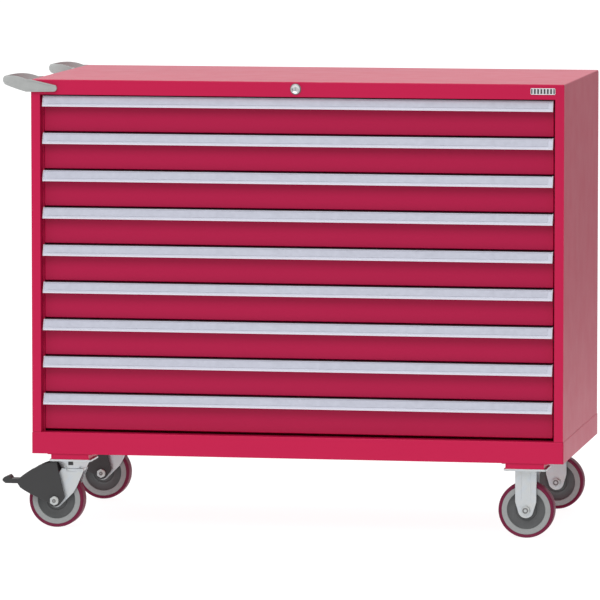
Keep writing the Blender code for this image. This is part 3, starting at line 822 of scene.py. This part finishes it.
def make_name_plate():
    """Blank plate with a raised border and a row of plain fins."""
    low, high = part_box("name_plate")
    centre = (in_mm(low.x + high.x) / 2, in_mm(low.z + high.z) / 2)
    half_a = in_mm(high.x - low.x) / 2
    half_b = in_mm(high.z - low.z) / 2
    face = in_mm(low.y)
    bm = bmesh.new()
    profile = [(0, face + 1.5), (0, face + 0.5), (0.15, face + 0.15), (0.5, face), (1.2, face),
               (1.6, face + 0.2), (1.8, face + 0.5)]
    add_pillow(bm, half_a, half_b, 3.0, profile, "Y", centre)
    piece("name_plate_body", bm, PLATE, "root", ["name_plate"])
    bm = bmesh.new()
    profile = [(0, face + 0.9), (0, face + 0.45)]
    add_pillow(bm, half_a - 1.9, half_b - 1.9, 1.4, profile, "Y", centre)
    piece("name_plate_field", bm, PLATE_FIELD, "root", ["name_plate"])
    bm = bmesh.new()
    for fin in range(-3, 4):
        across = centre[0] + fin * 8.6
        add_block(bm, (across - 2.1, face + 0.05, centre[1] - 6.8),
                  (across + 2.1, face + 0.6, centre[1] + 6.8), 0.1)
    piece("name_plate_fins", bm, PLATE, "root", ["name_plate"])


# ---- push handles

GRIP_THICK = 8.0
GRIP_RADIUS = 75.0
GRIP_STAND = 12.0
FOOT_LENGTH = 71.5
FOOT_END = 18.0
CROWN_DEPTH = 4.2
PANEL_DEPTH = 1.2
GRIP_LOW = ROOF - 33.0


def grip_section(low, high, relief, crown):
    """Cross-section as (out, z): a sunk panel in the outer face, or a crown round it."""
    half = GRIP_THICK / 2
    middle = (low + high) / 2
    rise = (high - low) / 2
    border = min(3.6, rise / 2)
    points = [
        (half, low),
        (half, low + border),
        (half - relief, low + border + 0.8),
        (half - relief, middle - 0.3 * rise),
        (half - relief, middle + 0.3 * rise),
        (half - relief, high - border - 0.8),
        (half, high - border),
        (half, high),
        (-half, high),
        (-half, low),
    ]
    fall = CROWN_DEPTH * crown
    return [(a - fall * ((b - middle) / rise) ** 2 * (a + half) / GRIP_THICK, b)
            for a, b in points]


def foot_stations(length):
    """Distance from the end, and edges, of the tapered foot with its round end."""
    radius = FOOT_END / 2
    middle = GRIP_LOW + 1.0 + radius
    stations = []
    for angle in (14, 26, 38, 50, 62, 76, 90):
        rise = radius * sin(radians(angle))
        stations.append((radius * (1 - cos(radians(angle))), middle - rise, middle + rise))
    for share in (0.2, 0.4, 0.6, 0.8, 1.0):
        run = radius + (length - radius) * share
        low = middle - radius + (GRIP_LOW - middle + radius) * share
        high = middle + radius + (ROOF - middle - radius) * share
        stations.append((run, low, high))
    return stations


def grip_stations():
    """Stations along the front handle: place, direction out, low, high, panel, crown."""
    half = GRIP_THICK / 2
    line_y = FRONT - 0.3 - half
    line_x = MID - HALF_W - 0.3 - half
    bend_x = MID - HALF_W - GRIP_STAND
    bend_y = line_y + GRIP_RADIUS
    end_x = MID - HALF_W + FOOT_LENGTH
    end_y = bend_y + GRIP_RADIUS + FOOT_LENGTH
    stations = []
    for run, low, high in foot_stations(FOOT_LENGTH):
        depth = PANEL_DEPTH * min(run / 12, 1)
        stations.append(((end_x - run, line_y), (0, -1), low, high, depth, 0))
    steps = 40
    for step in range(steps + 1):
        angle = pi * step / steps
        out = sin(angle)
        across = (-out, -cos(angle))
        place = (bend_x + GRIP_RADIUS * across[0], bend_y + GRIP_RADIUS * across[1])
        low = GRIP_LOW + 22 * out - 4 * out * out
        high = ROOF + 30 * out - 25 * out * out
        depth = PANEL_DEPTH * max(1 - 5 * out, 0)
        stations.append((place, across, low, high, depth, min(max(2.2 * out - 0.4, 0), 1)))
    corner = 9.0
    centre = (line_x - corner, bend_y + GRIP_RADIUS + corner)
    for step in range(1, 7):
        angle = pi / 2 * step / 6
        place = (centre[0] + corner * sin(angle), centre[1] - corner * cos(angle))
        stations.append((place, (-sin(angle), cos(angle)), GRIP_LOW, ROOF, PANEL_DEPTH, 0))
    for run, low, high in reversed(foot_stations(FOOT_LENGTH - corner - 2)):
        depth = PANEL_DEPTH * min(run / 12, 1)
        stations.append(((line_x, end_y - run), (-1, 0), low, high, depth, 0))
    return stations


def make_push_handles():
    """The two cast handles, alike but mirrored front to back."""
    for name, mirror in (("front", 1), ("rear", -1)):
        bm = bmesh.new()
        rings = []
        for (x, y), (ax, ay), *section in grip_stations():
            rings.append([((x + ax * out) * MM, mirror * (y + ay * out) * MM, z * MM)
                          for out, z in grip_section(*section)])
        skin(bm, rings)
        piece(f"push_handle_{name}_casting", bm, CAST, "root",
              [f"push_handle_{name}"], sharp=50)


# ---- casters

AXLE_Z = 75.0
PLATE_HALF = (57.0, 51.0)
PLATE_THICK = 5.5
PLATE_TOP = in_mm(CHANNEL_BOTTOM) - 0.3
PLATE_BOTTOM = PLATE_TOP - PLATE_THICK
LEG_INNER = 25.0
LEG_THICK = 4.0
LEG_OUTER = LEG_INNER + LEG_THICK
TRAIL = 44.2
COVER_INNER = 40.0
COVER_OUTER = 43.0


def tread(bm):
    """Polyurethane tread, slightly crowned, with rounded shoulders."""
    half = [(65.6, 20.4), (67.6, 20.8), (69.6, 22.0), (71.6, 22.4), (73.2, 21.4), (74.3, 19.2),
            (74.8, 15.0), (75.0, 8.0)]
    add_turned(bm, both_sides(half), "Y", segments=96, loop=True)


def rim(bm):
    """Light outer ring of the moulded core, with a step down to the web."""
    half = [(50.8, 13.6), (51.2, 19.0), (52.2, 20.0), (58.5, 20.3), (64.6, 20.3), (65.5, 19.8)]
    add_turned(bm, both_sides(half), "Y", segments=96, loop=True)


def web(bm):
    """Dished dark web with a raised ring, and the hub that holds the bearing."""
    half = [(6.8, 23.6), (15.4, 23.8), (16.6, 23.2), (17.4, 16.0), (19.0, 13.6), (25.0, 12.4),
            (27.5, 12.8), (29.0, 14.2), (31.0, 14.2), (32.5, 12.8), (35.0, 12.0), (45.0, 12.8),
            (48.5, 15.6), (50.7, 16.0)]
    add_turned(bm, both_sides(half), "Y", segments=72, loop=True)


def bearing_seal(bm):
    for side in (-1, 1):
        profile = [(6.6, 23.9), (14.6, 23.9), (14.9, 24.2), (14.4, 24.4), (8.0, 24.4), (6.6, 24.2)]
        add_turned(bm, [(radius, side * along) for radius, along in profile], "Y",
                   segments=40, loop=True)


def axle_build(seat, head, nut):
    """Hex bolt on a washer in front, nut on a washer behind, through the fork."""
    def axle(bm):
        add_turned(bm, [(6.0, -seat - 2), (6.0, seat + nut - 0.6), (5.2, seat + nut)], "Y",
                   segments=32)
        for side in (-1, 1):
            washer = [(11.2, seat + 0.1), (11.5, seat + 0.4), (11.5, seat + 1.7),
                      (11.0, seat + 2.1), (5.0, seat + 2.1)]
            add_turned(bm, [(radius, side * along) for radius, along in washer], "Y",
                       segments=40)
            add_hexagon(bm, 19.0, side * (seat + 2.0), side * (seat + head - 0.6), "Y",
                        chamfer=side * 0.9)
        add_turned(bm, [(8.2, -seat - head + 0.8), (7.4, -seat - head), (5.0, -seat - head),
                        (4.4, -seat - head + 0.9), (1.0, -seat - head + 0.9)], "Y", segments=32)
    return axle


def axle_cap(seat, head, inner, outer):
    """Dark ring let into the bolt head."""
    def cap(bm):
        face = -seat - head
        add_turned(bm, [(inner, face + 0.4), (outer, face + 0.4), (outer, face - 0.15),
                        (inner, face - 0.15)], "Y", segments=32, loop=True)
    return cap


def caster_plate(bm):
    profile = rounded_profile(PLATE_BOTTOM, PLATE_TOP, 1.0, 0.6)
    add_pillow(bm, *PLATE_HALF, 6.0, profile, "Z")


def plate_bolts(bm):
    """Flat screw heads in the four corners of the top plate."""
    under = PLATE_BOTTOM
    for a in (-47.0, 47.0):
        for b in (-42.0, 42.0):
            add_turned(bm, [(6.6, under + 0.3), (6.6, under - 0.3), (5.8, under - 0.8),
                            (2.6, under - 0.9), (2.2, under - 0.2), (0.6, under - 0.2)], "Z",
                       (a, b, 0), 28)


def bevelled_plate(bm, outline, inner, outer, edge):
    """A flat plate between two places along Y, its outer face's edge chamfered."""
    middle = Vector((sum(a for a, _ in outline), sum(b for _, b in outline))) / len(outline)
    rings = []
    back = edge if outer > inner else -edge
    for inset, along in ((0, inner), (0, outer - back), (edge * 0.45, outer - back * 0.3),
                         (edge, outer)):
        ring = []
        for a, b in outline:
            pull = (middle - Vector((a, b))).normalized() * inset
            ring.append(spot("Y", (a + pull.x) * MM, (b + pull.y) * MM, along * MM))
        rings.append(ring)
    skin(bm, rings)


def rigid_bracket(bm):
    """U-shaped bracket under the plate; its legs narrow to a round end at the axle."""
    half = 28.5
    shoulder = AXLE_Z + 23.0
    top = PLATE_BOTTOM + 0.5
    leg = filleted([(half, top), (-half, top), (-half, shoulder, 14),
                    *arc((0, AXLE_Z), 20.8, 198, 342, 14), (half, shoulder, 14)], 5)
    for side in (-1, 1):
        bevelled_plate(bm, leg, side * LEG_INNER, side * LEG_OUTER, 1.4)
        for across in (-12.5, 12.5):
            near, far = sorted((side * (LEG_OUTER - 1), side * (LEG_OUTER + 0.6)))
            add_block(bm, (across - 1.4, near, AXLE_Z + 30), (across + 1.4, far, top - 6), 0.5)
    bridge = LEG_INNER + 1.0
    add_block(bm, (1 - half, -bridge, PLATE_BOTTOM - 3.6), (half - 1, bridge, top - 0.2))


def raceway(bm):
    """Pressed upper raceway, a ball gap and the kingpin's nut boss."""
    top = PLATE_BOTTOM + 0.4
    add_turned(bm, [(43.6, top), (44.0, top - 1.2), (43.2, top - 4.0), (39.4, top - 10.4),
                    (35.6, top - 18.0), (34.8, top - 20.0), (33.6, top - 20.6),
                    (9.0, top - 20.6)], "Z", segments=72)


def raceway_stop(bm):
    """Dark stop block on the raceway's front."""
    add_block(bm, (-6.0, -46.0, PLATE_BOTTOM - 10.2), (7.0, -36.0, PLATE_BOTTOM - 0.6), 1.0)


def fork(bm):
    """Swivel head and two trailing legs."""
    head_top = 161.7
    add_turned(bm, [(9.0, head_top), (32.0, head_top), (33.0, head_top - 1.0),
                    (33.0, head_top - 5.2), (31.8, head_top - 7.4), (29.4, head_top - 8.6),
                    (9.0, head_top - 8.7)], "Z", segments=72)
    end = arc((-TRAIL, AXLE_Z), 20, 170, 325, 14)
    leg = filleted([(30, head_top - 0.3), (-27, head_top - 0.3), (-33, 152, 8), *end,
                    (4, 95, 14), (13, 110.5, 20), (21.5, 131, 20), (33, 159, 2)])
    for side in (-1, 1):
        bevelled_plate(bm, leg, side * LEG_INNER, side * LEG_OUTER, 1.4)


def kingpin(bm):
    add_turned(bm, [(8.0, 157.0), (8.0, 186.0), (7.2, 186.6)], "Z", segments=32)


COVER_SPINE = ((6, 180.5, 2), (-9, 179, 16), (-20, 176.5, 20), (-44, 168, 30),
               (-61.5, 159.5, 40), (-79, 148, 40), (-91, 139, 30), (-102, 129.5, 3))
COVER_BELLY = ((-102, 118.5, 3), (-95, 108, 8), (-84, 101, 16), (-67, 91.5, 30),
               (-49, 83.5, 16))


def cover_outline():
    """Side of the brake cover, measured from the swivel axis in X and the floor in Z."""
    points = [*COVER_SPINE, *COVER_BELLY, *arc((0, AXLE_Z), 17, 205, 325, 12),
              (28, 83.5, 8), (9.5, 160, 10)]
    return [(a - TRAIL, b) for a, b in filleted(points, 5)]


def brake_cover(bm):
    """Two pressed side plates and the sloping roof between them."""
    outline = cover_outline()
    for side in (-1, 1):
        bevelled_plate(bm, outline, side * COVER_INNER, side * COVER_OUTER, 1.6)
    roof = [(a - TRAIL + 1.1, b - 2.0, bend) for a, b, bend in COVER_SPINE[3:7]]
    reach = (COVER_INNER + 2) * MM
    add_prism(bm, folded(roof, 2.6), "Y", -reach, reach)


def pedal(bm):
    """Foot lever with an upturned toe and a ribbed tread."""
    section = [
        (8, -4, 1), (8, 4, 1), (4, 6.6, 1), (-47, 6.4, 1), (-49.5, 10.8, 1.5),
        (-54, 15.6, 2), (-66, 10.6, 3), (-70.8, 5.6, 2), (-70.4, 0.8, 2),
        (-62.6, -5.6, 3), (5, -5.6, 1),
    ]
    outline = filleted(section, 4)
    half = 20.0
    rings = []
    for scale, along in ((0.95, -half), (1.0, -half + 1.2), (1.0, half - 1.2), (0.95, half)):
        rings.append([spot("Y", (-29 + (a + 29) * (0.99 if scale < 1 else 1)) * MM,
                           b * scale * MM, along * MM) for a, b in outline])
    skin(bm, rings)
    for run in (-38, -33, -28, -23):
        add_block(bm, (run - 1.1, -16, 5.6), (run + 1.1, 16, 7.0), 0.5)


def make_wheel(name, body, shapes):
    node = f"wheel_{name}"
    for part, (mesh, material) in shapes.items():
        stand(f"{node}_{part}", mesh, material, body, centre_of(node), [node])


def make_axle(name, body, middle, bolt, cap):
    """Axle bolt and its dark ring, centred on the wheel rather than on head and nut."""
    node = f"axle_{name}"
    centre = centre_of(node)
    centre.y = middle.y
    stand(f"{node}_bolt", bolt, BOLT, body, centre, [node])
    stand(f"{node}_cap", cap, SOCKET, body, centre)


def make_top(name, node, plate, bolts):
    """Top plate and its screws; gives back the caster's place on the floor."""
    middle = centre_of(node)
    middle.z = 0
    stand(f"top_plate_{name}", plate, ZINC, "root", middle, [node])
    stand(f"plate_bolts_{name}", bolts, BOLT, "root", middle, [node])
    return middle


def make_casters():
    """Rigid casters on the right, braked swivel casters on the left."""
    wheel = {
        "tread": (mesh_of(tread), TREAD),
        "rim": (mesh_of(rim), RIM),
        "web": (mesh_of(web), WEB),
        "seal": (mesh_of(bearing_seal), RUBBER),
    }
    top_plate = mesh_of(caster_plate)
    bolts = mesh_of(plate_bolts)
    bracket = mesh_of(rigid_bracket)
    rigid_axle = mesh_of(axle_build(LEG_OUTER + 0.3, 7.6, 9.6))
    swivel_axle = mesh_of(axle_build(COVER_OUTER + 0.3, 8.6, 11.6))
    rigid_cap = mesh_of(axle_cap(LEG_OUTER + 0.3, 7.6, 4.2, 7.8))
    swivel_cap = mesh_of(axle_cap(COVER_OUTER + 0.3, 8.6, 1.4, 5.4))
    race = mesh_of(raceway)
    stop = mesh_of(raceway_stop)
    fork_mesh = mesh_of(fork)
    pin = mesh_of(kingpin)
    cover = mesh_of(brake_cover)
    lever = mesh_of(pedal)
    for end in ("front", "rear"):
        name = f"right_{end}"
        node = f"bracket_{name}"
        middle = make_top(name, node, top_plate, bolts)
        stand(f"{node}_legs", bracket, ZINC, "root", middle, [node])
        make_axle(name, "root", middle, rigid_axle, rigid_cap)
        make_wheel(name, f"rigid_wheel_{end}", wheel)

        name = f"left_{end}"
        body = f"swivel_{end}"
        node = f"swivel_plate_{name}"
        middle = make_top(name, node, top_plate, bolts)
        stand(f"raceway_{name}", race, ZINC, "root", middle, [node])
        stand(f"raceway_stop_{name}", stop, RUBBER, "root", middle)
        stand(f"fork_{name}_legs", fork_mesh, ZINC, body, middle, [f"fork_{name}"])
        stand(f"kingpin_{name}", pin, BOLT, body, middle, [f"fork_{name}"])
        node = f"brake_cover_{name}"
        stand(f"{node}_sides", cover, DARK_STEEL, body, middle, [node])
        make_axle(name, body, middle, swivel_axle, swivel_cap)
        make_wheel(name, f"swivel_wheel_{end}", wheel)
        node = f"brake_pedal_{name}"
        low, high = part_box(node)
        pivot = (high.x - 8 * MM, middle.y, low.z + 5.6 * MM)
        stand(f"{node}_lever", lever, DARK_STEEL, f"brake_{end}", pivot, [node])


# ---- studio

def make_camera():
    """Long lens from the right, a little above the roof."""
    camera = bpy.data.cameras.new("camera")
    camera.lens = 362.8
    camera.sensor_width = 36
    camera.clip_end = 200
    obj = bpy.data.objects.new("camera", camera)
    obj.location = (MID_X + 2.791, FRONT_Y - 15.755, 2.132)
    obj.rotation_euler = (radians(90 - 5.37), 0, radians(10.004))
    bpy.context.collection.objects.link(obj)
    bpy.context.scene.camera = obj


def make_floor():
    """Near white where the camera sees it through its own glow, a painted light; painted shade
    turns it grey beyond its right and in front.
    """
    nodes = Nodes("studio_floor")
    faint = nodes.noise(0.6, 2)
    place = nodes.add("ShaderNodeSeparateXYZ", Vector=nodes.place).outputs
    beside = nodes.math("ADD", nodes.math("MULTIPLY", place["Y"], 0.125), place["X"])
    right = nodes.span(beside, 0.84, 2.6, 1.0, 0.45)
    front = nodes.span(place["Y"], -5.0, -1.4, 0.7, 1.0)
    shaded = nodes.math("MULTIPLY", right, front)
    white = nodes.ramp(faint, (0.16, 0.16, 0.16), (0.18, 0.18, 0.18))
    pale = nodes.add("ShaderNodeVectorMath", Vector=white)
    pale.operation = "SCALE"
    nodes.tree.links.new(shaded, pale.inputs["Scale"])
    # the floor glows: painted light that fills in the chest's shadows and undersides
    nodes.shader.inputs["Emission Color"].default_value = (1, 1, 1, 1)
    material = nodes.finish(
        specular=0.1,
        Base_Color=pale.outputs["Vector"],
        Roughness=nodes.spread(faint, 0.85, 0.9),
        Emission_Strength=nodes.math("MULTIPLY", shaded, 0.93),
    )
    mesh = bpy.data.meshes.new("floor")
    bm = bmesh.new()
    bmesh.ops.create_grid(bm, x_segments=1, y_segments=1, size=60)
    bm.to_mesh(mesh)
    bm.free()
    mesh.materials.append(material)
    floor = bpy.data.objects.new("floor", mesh)
    floor.location = (0, 0, -0.0005)
    bpy.context.collection.objects.link(floor)


def area_light(name, place, target, size, power):
    light = bpy.data.lights.new(name, "AREA")
    light.shape = "RECTANGLE"
    light.size, light.size_y = size
    light.energy = power
    obj = bpy.data.objects.new(name, light)
    obj.location = place
    obj.rotation_euler = (Vector(target) - Vector(place)).to_track_quat("-Z", "Y").to_euler()
    bpy.context.collection.objects.link(obj)


def make_studio():
    """White room: a dome that is dimmer low down and to the right, and one soft light."""
    world = bpy.data.worlds.new("studio")
    world.use_nodes = True
    tree = world.node_tree
    background = tree.nodes["Background"]
    direction = tree.nodes.new("ShaderNodeTexCoord").outputs["Generated"]
    split = tree.nodes.new("ShaderNodeSeparateXYZ")
    tree.links.new(direction, split.inputs["Vector"])
    upward = map_range(tree, split.outputs["Z"], 0.0, 0.9, 0.66, 1.28)
    sideways = map_range(tree, split.outputs["X"], 0.15, 0.7, 1.0, 0.45)
    lengthways = map_range(tree, split.outputs["Y"], -0.5, 0.6, 0.90, 1.2)
    level = calculated(tree, "MULTIPLY", sideways, lengthways)
    tree.links.new(calculated(tree, "MULTIPLY", upward, level), background.inputs["Strength"])
    background.inputs["Color"].default_value = (1, 1, 1, 1)
    bpy.context.scene.world = world
    area_light("key", (-0.3, -5.0, 5.0), (0, 0, 0.6), (4.0, 3.0), 130)
    bpy.context.scene.view_settings.view_transform = "Standard"


make_walls()
make_roof()
make_header()
make_rails()
make_base()
make_channels()
make_drawers()
make_lock()
make_name_plate()
make_push_handles()
make_casters()
make_camera()
make_floor()
make_studio()
